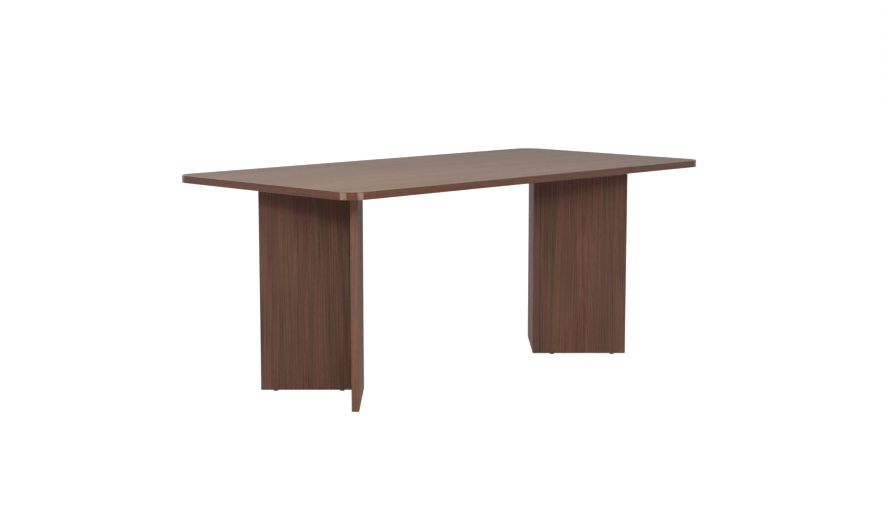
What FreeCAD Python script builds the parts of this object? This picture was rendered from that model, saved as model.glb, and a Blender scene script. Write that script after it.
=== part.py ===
import FreeCAD, Part
import os
import Sketcher
from FreeCAD import Placement, Rotation, Vector

# A rectangular dining table with rounded corners. Its top stands on two legs.
# Each leg is two upright panels that meet at a right angle, so that it is a V
# in plan. The outer corner of each V points to the middle of the table, and
# the V opens towards the table's short end.
#
# Lengths are millimetres and angles are degrees. The origin lies on the floor
# under the middle of the top, X runs along the top, Y across it and Z up.

SIZES = {
    # the top: a faced board with an edging glued all round it
    "table_height": 750,
    "top_length": 1800,
    "top_width": 900,
    "top_thickness": 25,
    "top_corner_radius": 70,
    "top_edging": 2,
    "top_edging_round": 1,
    # the legs: a through panel, and a butt panel that ends against its inner face
    "leg_inset": 461,
    "arm_length": 355,
    "panel_thickness": 25,
    "panel_edging": 1,
    "panel_edging_round": 0.5,
    "joint_chamfer": 1.5,
    # glued dowels in the corner joint
    "dowel_count": 5,
    "dowel_diameter": 8,
    "dowel_length": 40,
    "dowel_in_through": 15,
    "dowel_margin": 60,
    "dowel_chamfer": 1,
    "dowel_clearance": 0.1,
    "dowel_end_room": 1,
    # steel angle brackets between the panels and the underside of the top
    "bracket_length": 220,
    "bracket_width": 25,
    "bracket_thickness": 3,
    "bracket_bend": 2,
    "bracket_corner": 4,
    "bracket_setback": 30,
    # wood screws through a bracket's upright flange into a panel
    "screw_count": 4,
    "screw_diameter": 4,
    "screw_length": 20,
    "screw_tip": 5,
    "screw_margin": 20,
    "screw_drop": 15,
    "screw_head_diameter": 8,
    "screw_head_height": 2.6,
    "screw_head_round": 1.8,
    "screw_clearance": 0.1,
    "screw_hole_clearance": 0.6,
    "screw_end_room": 1,
    "cross_reach": 2.1,
    "cross_width": 1,
    "cross_depth": 1.5,
    # bolts through a bracket's level flange into threaded inserts in the top
    "bolt_count": 3,
    "bolt_diameter": 6,
    "bolt_length": 16,
    "bolt_chamfer": 0.8,
    "bolt_margin": 45,
    "bolt_out": 15,
    "bolt_head_diameter": 10.5,
    "bolt_head_height": 3.3,
    "bolt_head_round": 2,
    "bolt_hole_clearance": 0.8,
    "key_size": 4,
    "key_depth": 2,
    "washer_diameter": 12,
    "washer_thickness": 1.6,
    "washer_clearance": 0.4,
    "insert_diameter": 10,
    "insert_length": 13,
    "insert_chamfer": 0.7,
    "insert_clearance": 0.1,
    "insert_end_room": 1,
    "thread_clearance": 0.1,
    # round glides nailed under the panels
    "glide_count": 2,
    "glide_inset": 50,
    "glide_diameter": 16,
    "glide_height": 5,
    "glide_round": 1.5,
    "nail_diameter": 2.5,
    "nail_length": 20,
    "nail_tip": 3,
    "nail_head_diameter": 6,
    "nail_head_height": 1.2,
    "nail_recess": 1,
    "nail_clearance": 0.1,
    "nail_end_room": 1,
}

FULL_TURN = 360
HALF_TURN = 180
QUARTER_TURN = 90
HEXAGON_SIDES = 6
Z_AXIS = Vector(0, 0, 1)
TOUCH = 1e-6

doc = FreeCAD.newDocument("DiningTable")
sheet = doc.addObject("Spreadsheet::Sheet", "Sizes")
for row, (alias, value) in enumerate(SIZES.items(), start=1):
    sheet.set(f"A{row}", alias)
    sheet.set(f"B{row}", str(value))
    sheet.setAlias(f"B{row}", alias)
doc.recompute()


def measure(formula):
    """The value of a formula in the sheet's names, such as Sizes.top_width / 2."""
    return float(sheet.evalExpression(formula))


def spread(length, margin, count, index):
    """Where one of count things lies along a length, from its middle, when the end ones keep a margin."""
    return f"(({length} - 2 * {margin}) * ({index} / ({count} - 1) - 1 / 2))"


# Levels that several pieces share, as formulas of the sheet's names.
UNDERSIDE = "(Sizes.table_height - Sizes.top_thickness)"
PANEL_BOTTOM = "Sizes.glide_height"
BOARD_BOTTOM = "(Sizes.glide_height + Sizes.panel_edging)"
BOLT_SEAT = "(-Sizes.bracket_thickness - Sizes.washer_thickness)"
NAIL_SEAT = "(Sizes.nail_recess + Sizes.nail_head_height)"

# Places in plan, in a leg's own frame: its origin is the outer corner of the V,
# the butt panel runs along its X and the through panel along its Y.
APEX = "(Sizes.top_length / 2 - Sizes.leg_inset)"
THICKNESS = "Sizes.panel_thickness"
MID_THICKNESS = "(Sizes.panel_thickness / 2)"
ARM_END = "Sizes.arm_length"
ARM_BOARD_END = "(Sizes.arm_length - Sizes.panel_edging)"
ARM_START = {"through": "0", "butt": THICKNESS}
ARM_BOARD_START = {"through": "Sizes.panel_edging", "butt": THICKNESS}
BRACKET_MIDDLE = f"({THICKNESS} + Sizes.bracket_setback + Sizes.bracket_length / 2)"

DOWEL_ROW = (f"({UNDERSIDE} - {PANEL_BOTTOM})", "Sizes.dowel_margin", "Sizes.dowel_count")
SCREW_ROW = ("Sizes.bracket_length", "Sizes.screw_margin", "Sizes.screw_count")
BOLT_ROW = ("Sizes.bracket_length", "Sizes.bolt_margin", "Sizes.bolt_count")

parts = []


def new_body(label):
    """A body for one sub-part, which may hold several separate solids."""
    body = doc.addObject("PartDesign::Body", label)
    body.Label = label
    body.AllowCompound = True
    parts.append(body)
    return body


def origin_feature(body, role):
    """One of the body's own origin planes or axes."""
    return next(feature for feature in body.Origin.OriginFeatures if feature.Role == role)


def new_sketch(body, name, role, right="0", up="0", out="0"):
    """A sketch on one of the body's planes, its origin moved by three formulas."""
    sketch = body.newObject("Sketcher::SketchObject", f"{body.Name}_{name}")
    sketch.AttachmentSupport = (origin_feature(body, role), [""])
    sketch.MapMode = "FlatFace"
    for axis, formula in (("x", right), ("y", up), ("z", out)):
        sketch.setExpression(f"AttachmentOffset.Base.{axis}", formula)
    return sketch


def bind(sketch, formula, kind, *where):
    """A dimension in a sketch that follows a formula."""
    rule = sketch.addConstraint(Sketcher.Constraint(kind, *where, measure(formula)))
    sketch.setExpression(f"Constraints[{rule}]", formula)


def pin_point(sketch, geometry, point, across, up):
    """Hold a point of a line, an arc or a circle at two formulas from the sketch's origin."""
    bind(sketch, across, "DistanceX", -1, 1, geometry, point)
    bind(sketch, up, "DistanceY", -1, 1, geometry, point)


def draw_outline(sketch, points):
    """A closed outline of straight lines through points, each a pair of formulas."""
    places = [Vector(measure(across), measure(up), 0) for across, up in points]
    for index, place in enumerate(places):
        sketch.addGeometry(Part.LineSegment(places[index - 1], place))
    for index, (across, up) in enumerate(points):
        following = (index + 1) % len(points)
        sketch.addConstraint(Sketcher.Constraint("Coincident", index, 2, following, 1))
        pin_point(sketch, index, 2, across, up)


def draw_rectangle(sketch, low, high):
    """A rectangle between two opposite corners."""
    draw_outline(sketch, [low, (high[0], low[1]), high, (low[0], high[1])])


def draw_circle(sketch, centre, diameter):
    """A circle with its centre and its diameter bound."""
    place = Vector(measure(centre[0]), measure(centre[1]), 0)
    circle = sketch.addGeometry(Part.Circle(place, Z_AXIS, measure(diameter) / 2))
    pin_point(sketch, circle, 3, *centre)
    bind(sketch, diameter, "Diameter", circle)


def draw_rounded_rectangle(sketch, length, width, radius):
    """A rectangle about the origin, its corners quarter circles of one radius."""
    bend = measure(radius)
    arcs = []
    for index, (side_x, side_y) in enumerate(((1, 1), (-1, 1), (-1, -1), (1, -1))):
        across = f"{side_x} * ({length} / 2 - {radius})"
        up = f"{side_y} * ({width} / 2 - {radius})"
        centre = Vector(measure(across), measure(up), 0)
        start = Rotation(Z_AXIS, index * QUARTER_TURN).multVec(Vector(bend, 0, 0))
        middle = Rotation(Z_AXIS, QUARTER_TURN / 2).multVec(start)
        end = Rotation(Z_AXIS, QUARTER_TURN).multVec(start)
        arcs.append(sketch.addGeometry(Part.Arc(centre + start, centre + middle, centre + end)))
        pin_point(sketch, arcs[-1], 3, across, up)
        bind(sketch, radius, "Radius", arcs[-1])
    for index, arc in enumerate(arcs):
        following = arcs[(index + 1) % len(arcs)]
        ends = (sketch.getPoint(arc, 2), sketch.getPoint(following, 1))
        side = sketch.addGeometry(Part.LineSegment(*ends))
        sketch.addConstraint(Sketcher.Constraint("Tangent", arc, 2, side, 1))
        sketch.addConstraint(Sketcher.Constraint("Tangent", side, 2, following, 1))


def finish_feature(body, feature):
    """Make a feature the body's result and work it out."""
    body.Tip = feature
    doc.recompute()
    return feature


def pad(body, sketch, length):
    """Raise a sketch along its own normal."""
    feature = body.newObject("PartDesign::Pad", f"{sketch.Name}_pad")
    feature.Profile = sketch
    feature.setExpression("Length", length)
    return finish_feature(body, feature)


def turn(body, sketch, axis):
    """Turn a sketch once round about one of its own axes."""
    feature = body.newObject("PartDesign::Revolution", f"{sketch.Name}_turned")
    feature.Profile = sketch
    feature.ReferenceAxis = (sketch, [axis])
    feature.Angle = FULL_TURN
    return finish_feature(body, feature)


def pocket(body, sketch, depth, along_normal):
    """Cut a sketch into the body, along its normal or against it, and see that it meets material."""
    before = body.Shape.Volume
    feature = body.newObject("PartDesign::Pocket", f"{sketch.Name}_pocket")
    feature.Profile = sketch
    feature.Reversed = along_normal
    feature.setExpression("Length", depth)
    finish_feature(body, feature)
    if feature.Shape.Volume > before - TOUCH:
        raise RuntimeError(f"{feature.Name} cuts nothing")
    return feature


def repeat(body, role, row):
    """Copies of everything in the body along one of its axes, spaced as a row of holes is."""
    length, margin, count = row
    pattern = body.newObject("PartDesign::LinearPattern", f"{body.Name}_row")
    pattern.TransformMode = "Whole shape"
    pattern.Direction = (origin_feature(body, role), [""])
    pattern.setExpression("Length", f"{length} - 2 * {margin}")
    pattern.setExpression("Occurrences", count)
    return finish_feature(body, pattern)


def dress(body, kind, size_name, size, choose):
    """A fillet or a chamfer on those edges of the body that choose picks by their box."""
    base = body.Tip
    edges = enumerate(base.Shape.Edges, start=1)
    names = [f"Edge{number}" for number, edge in edges if choose(edge.BoundBox)]
    if not names:
        raise RuntimeError(f"{body.Name} has no such edge to dress")
    feature = body.newObject(f"PartDesign::{kind}", f"{body.Name}_{kind.lower()}_{size_name.lower()}")
    feature.Base = (base, names)
    feature.setExpression(size_name, size)
    return finish_feature(body, feature)


def lies_at(low, high, formula):
    """Whether a stretch from low to high is one place, the one that a formula gives."""
    place = measure(formula)
    return abs(low - place) < TOUCH and abs(high - place) < TOUCH


def upright_at(*places):
    """Picks the upright edges that stand at one of some places in plan."""
    return lambda box: box.ZLength > TOUCH and any(
        lies_at(box.XMin, box.XMax, across) and lies_at(box.YMin, box.YMax, along)
        for across, along in places
    )


def place_on_leg(body, side, across="0", along="0", level="0", quarter_turns=0):
    """
    Move a body from a leg's frame to the table's. The leg's frame stands at the V's
    outer corner, turned so that the V's middle line lies along the table's X.
    """
    leg_turn = -QUARTER_TURN / 2 if side > 0 else HALF_TURN - QUARTER_TURN / 2
    body.Placement = Placement(Vector(), Rotation(Z_AXIS, leg_turn + quarter_turns * QUARTER_TURN))
    shift_x = f"cos({leg_turn}) * {across} - sin({leg_turn}) * {along}"
    shift_y = f"sin({leg_turn}) * {across} + cos({leg_turn}) * {along}"
    body.setExpression("Placement.Base.x", f"{side} * {APEX} + {shift_x}")
    body.setExpression("Placement.Base.y", shift_y)
    body.setExpression("Placement.Base.z", level)


def place_on_bracket(body, side, arm):
    """
    Move a body from a bracket's frame to the table's. The bracket's frame stands half way
    along the bracket, where the panel's inner face meets the underside of the top. Its X
    runs along the panel, its Y points into the V and Z is up.
    """
    across, along = arm_point(arm, BRACKET_MIDDLE, THICKNESS)
    place_on_leg(body, side, across, along, UNDERSIDE, quarter_turns=0 if arm == "butt" else -1)


def arm_point(arm, along, across):
    """A place in the leg's plan from a distance along an arm and one across its thickness."""
    return (along, across) if arm == "butt" else (across, along)


def glide_row(arm):
    """The stretch of a panel that its glides are spread over."""
    return (f"({ARM_END} - {ARM_START[arm]})", "Sizes.glide_inset", "Sizes.glide_count")


def glide_place(arm, index):
    """Where a glide stands in the leg's plan."""
    middle = f"(({ARM_START[arm]} + {ARM_END}) / 2)"
    return arm_point(arm, f"({middle} + {spread(*glide_row(arm), index)})", MID_THICKNESS)


def counted(name):
    """The numbers from nought to a count in the sheet."""
    return range(round(measure(name)))


# The top

def make_top_board():
    """The faced board, with blind holes in its underside for the threaded inserts."""
    body = new_body("top_board")
    plan = new_sketch(body, "plan", "XY_Plane", out=UNDERSIDE)
    draw_rounded_rectangle(
        plan,
        "(Sizes.top_length - 2 * Sizes.top_edging)",
        "(Sizes.top_width - 2 * Sizes.top_edging)",
        "(Sizes.top_corner_radius - Sizes.top_edging)",
    )
    pad(body, plan, "Sizes.top_thickness")
    for side, side_name in SIDES:
        holes = new_sketch(body, f"{side_name}_insert_holes", "XY_Plane", out=UNDERSIDE)
        leg_turn = -QUARTER_TURN / 2 if side > 0 else HALF_TURN - QUARTER_TURN / 2
        holes.AttachmentOffset = Placement(Vector(), Rotation(Z_AXIS, leg_turn))
        holes.setExpression("AttachmentOffset.Base.x", f"{side} * {APEX}")
        holes.setExpression("AttachmentOffset.Base.z", UNDERSIDE)
        for arm in ARM_START:
            for index in counted("Sizes.bolt_count"):
                along = f"({BRACKET_MIDDLE} + {spread(*BOLT_ROW, index)})"
                centre = arm_point(arm, along, f"({THICKNESS} + Sizes.bolt_out)")
                draw_circle(holes, centre, "Sizes.insert_diameter + Sizes.insert_clearance")
        pocket(body, holes, "Sizes.insert_length + Sizes.insert_end_room", along_normal=True)


def make_top_edging():
    """The strip glued round the board, its two outer arrises rounded."""
    body = new_body("top_edging")
    plan = new_sketch(body, "plan", "XY_Plane", out=UNDERSIDE)
    for inward in ("0", "Sizes.top_edging"):
        draw_rounded_rectangle(
            plan,
            f"(Sizes.top_length - 2 * {inward})",
            f"(Sizes.top_width - 2 * {inward})",
            f"(Sizes.top_corner_radius - {inward})",
        )
    pad(body, plan, "Sizes.top_thickness")
    half_length = measure("Sizes.top_length / 2")
    half_width = measure("Sizes.top_width / 2")

    def outer_arris(box):
        reach_x = max(abs(box.XMin), abs(box.XMax))
        reach_y = max(abs(box.YMin), abs(box.YMax))
        outside = abs(reach_x - half_length) < TOUCH or abs(reach_y - half_width) < TOUCH
        return outside and box.ZLength < TOUCH

    dress(body, "Fillet", "Radius", "Sizes.top_edging_round", outer_arris)


# The legs

def ease_joint(body):
    """Chamfer the butt panel's outer arris beside the joint, which shows there as a dark line."""
    joint_arris = upright_at(arm_point("butt", THICKNESS, "0"))
    dress(body, "Chamfer", "Size", "Sizes.joint_chamfer", joint_arris)


def make_panel(side, side_name, arm):
    """A leg panel's board, with its holes for dowels, bracket screws and glide nails."""
    body = new_body(f"{side_name}_{arm}_panel")
    plan = new_sketch(body, "plan", "XY_Plane", out=BOARD_BOTTOM)
    draw_rectangle(
        plan,
        arm_point(arm, ARM_BOARD_START[arm], "0"),
        arm_point(arm, ARM_BOARD_END, THICKNESS),
    )
    pad(body, plan, f"{UNDERSIDE} - {BOARD_BOTTOM}")
    if arm == "butt":
        ease_joint(body)

    # both panels' dowel holes start from the joint's plane
    dowel_holes = new_sketch(body, "dowel_holes", "YZ_Plane", out=THICKNESS)
    for index in counted("Sizes.dowel_count"):
        level = f"({UNDERSIDE} + {PANEL_BOTTOM}) / 2 + {spread(*DOWEL_ROW, index)}"
        draw_circle(dowel_holes, (MID_THICKNESS, level), "Sizes.dowel_diameter + Sizes.dowel_clearance")
    reach = "Sizes.dowel_in_through" if arm == "through" else "Sizes.dowel_length - Sizes.dowel_in_through"
    pocket(body, dowel_holes, f"{reach} + Sizes.dowel_end_room", along_normal=arm == "butt")

    # the bracket's screws enter the panel's inner face
    if arm == "through":
        screw_holes = new_sketch(body, "screw_holes", "YZ_Plane", out=THICKNESS)
    else:
        screw_holes = new_sketch(body, "screw_holes", "XZ_Plane", out=f"-{THICKNESS}")
    for index in counted("Sizes.screw_count"):
        along = f"({BRACKET_MIDDLE} + {spread(*SCREW_ROW, index)})"
        centre = (along, f"{UNDERSIDE} - Sizes.screw_drop")
        draw_circle(screw_holes, centre, "Sizes.screw_diameter + Sizes.screw_clearance")
    depth = "Sizes.screw_length - Sizes.bracket_thickness + Sizes.screw_end_room"
    pocket(body, screw_holes, depth, along_normal=arm == "butt")

    nail_holes = new_sketch(body, "nail_holes", "XY_Plane", out=BOARD_BOTTOM)
    for index in counted("Sizes.glide_count"):
        draw_circle(nail_holes, glide_place(arm, index), "Sizes.nail_diameter + Sizes.nail_clearance")
    depth = f"{NAIL_SEAT} + Sizes.nail_length - {BOARD_BOTTOM} + Sizes.nail_end_room"
    pocket(body, nail_holes, depth, along_normal=True)
    place_on_leg(body, side)


def make_end_edging(side, side_name, arm, end_name, low, high, outer):
    """An upright edging strip on a panel's end, rounded on its outer arrises."""
    body = new_body(f"{side_name}_{arm}_{end_name}_edging")
    plan = new_sketch(body, "plan", "XY_Plane", out=PANEL_BOTTOM)
    draw_rectangle(plan, arm_point(arm, low, "0"), arm_point(arm, high, THICKNESS))
    pad(body, plan, f"{UNDERSIDE} - {PANEL_BOTTOM}")
    outer_arrises = upright_at(arm_point(arm, outer, "0"), arm_point(arm, outer, THICKNESS))
    dress(body, "Fillet", "Radius", "Sizes.panel_edging_round", outer_arrises)
    place_on_leg(body, side)


def make_bottom_edging(side, side_name, arm):
    """The edging strip under a panel, which the glide nails pass through."""
    body = new_body(f"{side_name}_{arm}_bottom_edging")
    plan = new_sketch(body, "plan", "XY_Plane", out=PANEL_BOTTOM)
    draw_rectangle(
        plan,
        arm_point(arm, ARM_BOARD_START[arm], "0"),
        arm_point(arm, ARM_BOARD_END, THICKNESS),
    )
    pad(body, plan, "Sizes.panel_edging")
    if arm == "butt":
        ease_joint(body)
    holes = new_sketch(body, "nail_holes", "XY_Plane", out=PANEL_BOTTOM)
    for index in counted("Sizes.glide_count"):
        draw_circle(holes, glide_place(arm, index), "Sizes.nail_diameter + Sizes.nail_clearance")
    pocket(body, holes, "Sizes.panel_edging", along_normal=True)

    def lower_arris(box):
        run = box.XLength if arm == "butt" else box.YLength
        straight = min(box.XLength, box.YLength) < TOUCH
        return straight and run > measure(THICKNESS) and lies_at(box.ZMin, box.ZMax, PANEL_BOTTOM)

    dress(body, "Fillet", "Radius", "Sizes.panel_edging_round", lower_arris)
    place_on_leg(body, side)


def make_corner_dowels(side, side_name):
    """The glued dowels between the through panel's inner face and the butt panel's end."""
    body = new_body(f"{side_name}_corner_dowels")
    lowest = f"({UNDERSIDE} + {PANEL_BOTTOM}) / 2 + {spread(*DOWEL_ROW, 0)}"
    section = new_sketch(
        body,
        "section",
        "XZ_Plane",
        right=f"{THICKNESS} - Sizes.dowel_in_through",
        up=lowest,
        out=f"-{MID_THICKNESS}",
    )
    length = "Sizes.dowel_length"
    radius = "(Sizes.dowel_diameter / 2)"
    chamfer = "Sizes.dowel_chamfer"
    draw_outline(
        section,
        [
            ("0", "0"),
            (length, "0"),
            (length, f"{radius} - {chamfer}"),
            (f"{length} - {chamfer}", radius),
            (chamfer, radius),
            ("0", f"{radius} - {chamfer}"),
        ],
    )
    turn(body, section, "H_Axis")
    repeat(body, "Z_Axis", DOWEL_ROW)
    place_on_leg(body, side)


# The brackets and their fasteners, each in its bracket's frame

def make_bracket(side, side_name, arm):
    """A bent steel angle that holds one panel square under the top."""
    body = new_body(f"{side_name}_{arm}_bracket")
    width = "Sizes.bracket_width"
    gauge = "Sizes.bracket_thickness"
    half_length = "(Sizes.bracket_length / 2)"
    section = new_sketch(body, "section", "YZ_Plane", out=f"-{half_length}")
    draw_outline(
        section,
        [
            ("0", "0"),
            (width, "0"),
            (width, f"-{gauge}"),
            (gauge, f"-{gauge}"),
            (gauge, f"-{width}"),
            ("0", f"-{width}"),
        ],
    )
    pad(body, section, "Sizes.bracket_length")

    def bend_line(formula_y, formula_z):
        return lambda box: (
            lies_at(box.YMin, box.YMax, formula_y) and lies_at(box.ZMin, box.ZMax, formula_z)
        )

    def flange_corner(box):
        at_end = lies_at(box.XMin, box.XMax, half_length) or lies_at(box.XMin, box.XMax, f"-{half_length}")
        level_tip = lies_at(box.YMin, box.YMax, width)
        upright_tip = lies_at(box.ZMin, box.ZMax, f"-{width}")
        return at_end and (level_tip or upright_tip)

    dress(body, "Fillet", "Radius", "Sizes.bracket_corner", flange_corner)
    inside = dress(body, "Fillet", "Radius", "Sizes.bracket_bend", bend_line(gauge, f"-{gauge}"))
    inside.Label = f"{body.Name}_inside_bend"
    dress(body, "Fillet", "Radius", f"Sizes.bracket_bend + {gauge}", bend_line("0", "0"))

    screw_holes = new_sketch(body, "screw_holes", "XZ_Plane", out=f"-{gauge}")
    for index in counted("Sizes.screw_count"):
        centre = (spread(*SCREW_ROW, index), "-Sizes.screw_drop")
        draw_circle(screw_holes, centre, "Sizes.screw_diameter + Sizes.screw_hole_clearance")
    pocket(body, screw_holes, gauge, along_normal=True)
    bolt_holes = new_sketch(body, "bolt_holes", "XY_Plane", out=f"-{gauge}")
    for index in counted("Sizes.bolt_count"):
        centre = (spread(*BOLT_ROW, index), "Sizes.bolt_out")
        draw_circle(bolt_holes, centre, "Sizes.bolt_diameter + Sizes.bolt_hole_clearance")
    pocket(body, bolt_holes, gauge, along_normal=True)
    place_on_bracket(body, side, arm)


def make_bracket_screws(side, side_name, arm):
    """Wood screws with round heads and crossed recesses, through the upright flange."""
    body = new_body(f"{side_name}_{arm}_bracket_screws")
    first = spread(*SCREW_ROW, 0)
    seat = "Sizes.bracket_thickness"
    crown = "(Sizes.bracket_thickness + Sizes.screw_head_height)"
    head = "(Sizes.screw_head_diameter / 2)"
    shank = "(Sizes.screw_diameter / 2)"
    section = new_sketch(body, "section", "XY_Plane", right=first, out="-Sizes.screw_drop")
    draw_outline(
        section,
        [
            ("0", crown),
            (head, crown),
            (head, seat),
            (shank, seat),
            (shank, f"{seat} - Sizes.screw_length + Sizes.screw_tip"),
            ("0", f"{seat} - Sizes.screw_length"),
        ],
    )
    turn(body, section, "V_Axis")
    dress(
        body,
        "Fillet",
        "Radius",
        "Sizes.screw_head_round",
        lambda box: lies_at(box.YMin, box.YMax, crown) and box.XLength > TOUCH,
    )
    recess = new_sketch(
        body, "recess", "XZ_Plane", right=first, up="-Sizes.screw_drop", out=f"-{crown}"
    )
    tip = "Sizes.cross_reach"
    flank = "(Sizes.cross_width / 2)"
    draw_outline(
        recess,
        [
            (tip, flank),
            (flank, flank),
            (flank, tip),
            (f"-{flank}", tip),
            (f"-{flank}", flank),
            (f"-{tip}", flank),
            (f"-{tip}", f"-{flank}"),
            (f"-{flank}", f"-{flank}"),
            (f"-{flank}", f"-{tip}"),
            (flank, f"-{tip}"),
            (flank, f"-{flank}"),
            (tip, f"-{flank}"),
        ],
    )
    pocket(body, recess, "Sizes.cross_depth", along_normal=True)
    repeat(body, "X_Axis", SCREW_ROW)
    place_on_bracket(body, side, arm)


def make_bracket_bolts(side, side_name, arm):
    """Round-headed bolts with hexagon sockets, up through the level flange."""
    body = new_body(f"{side_name}_{arm}_bracket_bolts")
    first = spread(*BOLT_ROW, 0)
    head = "(Sizes.bolt_head_diameter / 2)"
    shank = "(Sizes.bolt_diameter / 2)"
    crown = "-Sizes.bolt_head_height"
    section = new_sketch(body, "section", "XZ_Plane", right=first, up=BOLT_SEAT, out="-Sizes.bolt_out")
    draw_outline(
        section,
        [
            ("0", "Sizes.bolt_length"),
            (f"{shank} - Sizes.bolt_chamfer", "Sizes.bolt_length"),
            (shank, "Sizes.bolt_length - Sizes.bolt_chamfer"),
            (shank, "0"),
            (head, "0"),
            (head, crown),
            ("0", crown),
        ],
    )
    turn(body, section, "V_Axis")
    crown_level = f"({BOLT_SEAT} - Sizes.bolt_head_height)"
    dress(
        body,
        "Fillet",
        "Radius",
        "Sizes.bolt_head_round",
        lambda box: lies_at(box.ZMin, box.ZMax, crown_level) and box.XLength > TOUCH,
    )
    socket = new_sketch(
        body, "socket", "XY_Plane", right=first, up="Sizes.bolt_out", out=crown_level
    )
    angles = [FULL_TURN / HEXAGON_SIDES * side_number for side_number in range(HEXAGON_SIDES)]
    corner = "Sizes.key_size / sqrt(3)"
    draw_outline(socket, [(f"{corner} * cos({angle})", f"{corner} * sin({angle})") for angle in angles])
    pocket(body, socket, "Sizes.key_depth", along_normal=True)
    repeat(body, "X_Axis", BOLT_ROW)
    place_on_bracket(body, side, arm)


def make_bracket_washers(side, side_name, arm):
    """Flat washers between the bolt heads and the level flange."""
    body = new_body(f"{side_name}_{arm}_bracket_washers")
    plan = new_sketch(
        body, "plan", "XY_Plane", right=spread(*BOLT_ROW, 0), up="Sizes.bolt_out", out=BOLT_SEAT
    )
    draw_circle(plan, ("0", "0"), "Sizes.washer_diameter")
    draw_circle(plan, ("0", "0"), "Sizes.bolt_diameter + Sizes.washer_clearance")
    pad(body, plan, "Sizes.washer_thickness")
    repeat(body, "X_Axis", BOLT_ROW)
    place_on_bracket(body, side, arm)


def make_inserts(side, side_name, arm):
    """Threaded inserts set flush in the underside of the top, above a bracket."""
    body = new_body(f"{side_name}_{arm}_inserts")
    section = new_sketch(
        body, "section", "XZ_Plane", right=spread(*BOLT_ROW, 0), out="-Sizes.bolt_out"
    )
    bore = "((Sizes.bolt_diameter + Sizes.thread_clearance) / 2)"
    outside = "(Sizes.insert_diameter / 2)"
    draw_outline(
        section,
        [
            (bore, "0"),
            (outside, "0"),
            (outside, "Sizes.insert_length - Sizes.insert_chamfer"),
            (f"{outside} - Sizes.insert_chamfer", "Sizes.insert_length"),
            (bore, "Sizes.insert_length"),
        ],
    )
    turn(body, section, "V_Axis")
    repeat(body, "X_Axis", BOLT_ROW)
    place_on_bracket(body, side, arm)


# The glides, each in its leg's frame

def make_glides(side, side_name, arm):
    """Round plastic glides, counterbored from below for their nails."""
    body = new_body(f"{side_name}_{arm}_glides")
    across, along = glide_place(arm, 0)
    section = new_sketch(body, "section", "XZ_Plane", right=across, out=f"-{along}")
    rim = "(Sizes.glide_diameter / 2)"
    head_room = "((Sizes.nail_head_diameter + Sizes.nail_clearance) / 2)"
    shank_room = "((Sizes.nail_diameter + Sizes.nail_clearance) / 2)"
    draw_outline(
        section,
        [
            (head_room, "0"),
            (rim, "0"),
            (rim, "Sizes.glide_height"),
            (shank_room, "Sizes.glide_height"),
            (shank_room, NAIL_SEAT),
            (head_room, NAIL_SEAT),
        ],
    )
    turn(body, section, "V_Axis")
    rim_width = measure("Sizes.glide_diameter")
    dress(
        body,
        "Fillet",
        "Radius",
        "Sizes.glide_round",
        lambda box: lies_at(box.ZMin, box.ZMax, "0") and abs(box.XLength - rim_width) < TOUCH,
    )
    repeat(body, "X_Axis" if arm == "butt" else "Y_Axis", glide_row(arm))
    place_on_leg(body, side)


def make_glide_nails(side, side_name, arm):
    """The nails that hold the glides, their heads sunk above the floor."""
    body = new_body(f"{side_name}_{arm}_glide_nails")
    across, along = glide_place(arm, 0)
    section = new_sketch(body, "section", "XZ_Plane", right=across, up=NAIL_SEAT, out=f"-{along}")
    head = "(Sizes.nail_head_diameter / 2)"
    shank = "(Sizes.nail_diameter / 2)"
    draw_outline(
        section,
        [
            ("0", "-Sizes.nail_head_height"),
            (head, "-Sizes.nail_head_height"),
            (head, "0"),
            (shank, "0"),
            (shank, "Sizes.nail_length - Sizes.nail_tip"),
            ("0", "Sizes.nail_length"),
        ],
    )
    turn(body, section, "V_Axis")
    repeat(body, "X_Axis" if arm == "butt" else "Y_Axis", glide_row(arm))
    place_on_leg(body, side)


# The left leg stands towards negative X and the right leg towards positive X.
SIDES = ((-1, "left"), (1, "right"))

make_top_board()
make_top_edging()
for side, side_name in SIDES:
    for arm in ARM_START:
        make_panel(side, side_name, arm)
        make_end_edging(side, side_name, arm, "free", ARM_BOARD_END, ARM_END, ARM_END)
        make_bottom_edging(side, side_name, arm)
        make_bracket(side, side_name, arm)
        make_bracket_screws(side, side_name, arm)
        make_bracket_bolts(side, side_name, arm)
        make_bracket_washers(side, side_name, arm)
        make_inserts(side, side_name, arm)
        make_glides(side, side_name, arm)
        make_glide_nails(side, side_name, arm)
    make_end_edging(side, side_name, "through", "apex", "0", "Sizes.panel_edging", "0")
    make_corner_dowels(side, side_name)
doc.recompute()

for item in doc.Objects:
    if "Invalid" in item.State or "Error" in item.State:
        raise RuntimeError(f"{item.Label} failed: {item.State}")
    if item.TypeId == "Sketcher::SketchObject" and not item.FullyConstrained:
        raise RuntimeError(f"{item.Label} is not fully constrained")
for body in parts:
    if body.Shape.isNull() or not body.Shape.isValid():
        raise RuntimeError(f"{body.Label} has no valid shape")

os.makedirs("parts", exist_ok=True)
for body in parts:
    body.Shape.exportStep(f"parts/{body.Label}.step")
    print(f"{body.Label}: {len(body.Shape.Solids)} solids, {body.Shape.Volume:.1f} mm3")
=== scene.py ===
# %% [markdown]
# A dining table in walnut veneer. The top is a flat board with rounded corners and a thin
# edging strip glued all round it. It stands on two legs, each made of two upright boards
# that meet at a right angle, so that a leg is a V seen from above.
#
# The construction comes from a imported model, the frame: every board, strip, bracket and
# screw is already there at its real size, in metres, with its place in its mesh. This file
# gives them their looks. It sets up a camera, a floor and lamps, makes the finishes out of
# shader nodes, and builds one piece anew, whose grain needs more than the frame holds.

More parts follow.
